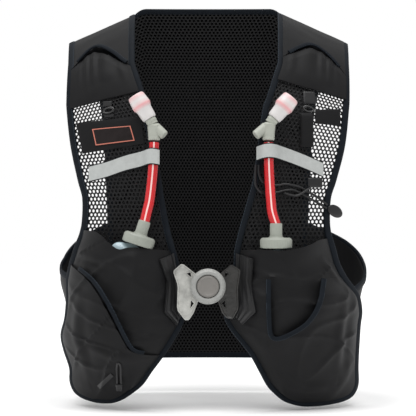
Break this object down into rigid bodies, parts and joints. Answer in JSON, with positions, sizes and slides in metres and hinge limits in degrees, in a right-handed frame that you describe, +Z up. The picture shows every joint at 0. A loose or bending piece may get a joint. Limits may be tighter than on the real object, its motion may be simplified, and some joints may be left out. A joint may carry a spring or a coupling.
{
  "type": "running hydration vest with two soft flasks, held up open",
  "caption": "Black net running vest, front pockets with soft flasks, red hoses and bite valves, dial buckle, held open as worn.",
  "frame": {"origin": "shoulder seat: the middle of the body between the shoulders, level with the foot of the neck", "axes": "+Z up, the chest faces -Y, +X is to the right as seen from in front"},
  "size_m": [0.3366, 0.2587, 0.4353],
  "materials": {
    "net": "open knit net, matte",
    "tape": "folded binding tape, matte",
    "cloth": "thin stretch cloth, slight sheen",
    "band": "soft elastic, matte",
    "hose": "clear red, glossy",
    "cap": "satin",
    "flask": "thin soft film, glossy",
    "elbow": "satin",
    "mouthpiece": "translucent soft silicone",
    "rubber": "matte",
    "wing_light": "satin",
    "wing_dark": "satin",
    "ring": "satin metallic look",
    "button": "satin",
    "plate": "matte",
    "cord": "braided elastic cord"
  },
  "bodies": {
    "root": {"strap_net_left": "net", "front_binding_left": "tape", "shoulder_yoke_left": "cloth", "shoulder_pocket_left": "cloth", "flask_pocket_left": "cloth", "stash_pocket_left": "cloth", "hose_band_left": "band", "hose_left": "hose", "flask_cap_left": "cap", "flask_left": "flask", "valve_elbow_left": "elbow", "mouthpiece_left": "mouthpiece", "strap_net_right": "net", "front_binding_right": "tape", "shoulder_yoke_right": "cloth", "shoulder_pocket_right": "cloth", "flask_pocket_right": "cloth", "stash_pocket_right": "cloth", "hose_band_right": "band", "hose_right": "hose", "flask_cap_right": "cap", "flask_right": "flask", "valve_elbow_right": "elbow", "mouthpiece_right": "mouthpiece", "back_panel": "net", "collar_binding": "tape", "hem_binding": "tape", "armhole_binding_left": "tape", "side_panel_left": "net", "side_binding_left": "tape", "armhole_binding_right": "tape", "side_panel_right": "net", "side_binding_right": "tape", "stash_mouth_left": "tape", "stash_mouth_right": "tape", "shoulder_mouth_left": "tape", "shoulder_mouth_right": "tape", "buckle_base_left": "rubber", "buckle_wing_left": "wing_light", "buckle_base_right": "rubber", "buckle_wing_right": "wing_dark", "buckle_ring": "ring", "buckle_button": "button", "patch_panel_left": "cloth", "keeper_strap_left": "rubber", "keeper_tab_left": "rubber", "keeper_strap_right": "rubber", "pole_sleeve_right": "cloth", "patch_right": "cloth", "webbing_tab_right": "rubber", "patch_plate_left": "plate", "keeper_ring_left": "wing_dark", "keeper_ring_right": "wing_dark", "bungee_lower_right": "cord", "bungee_upper_right": "cord", "bungee_hook_right": "cord", "bungee_pull_right": "rubber", "bungee_left": "cord", "cord_lock_left": "rubber", "bungee_pull_left": "cord"}
  },
  "joints": []
}
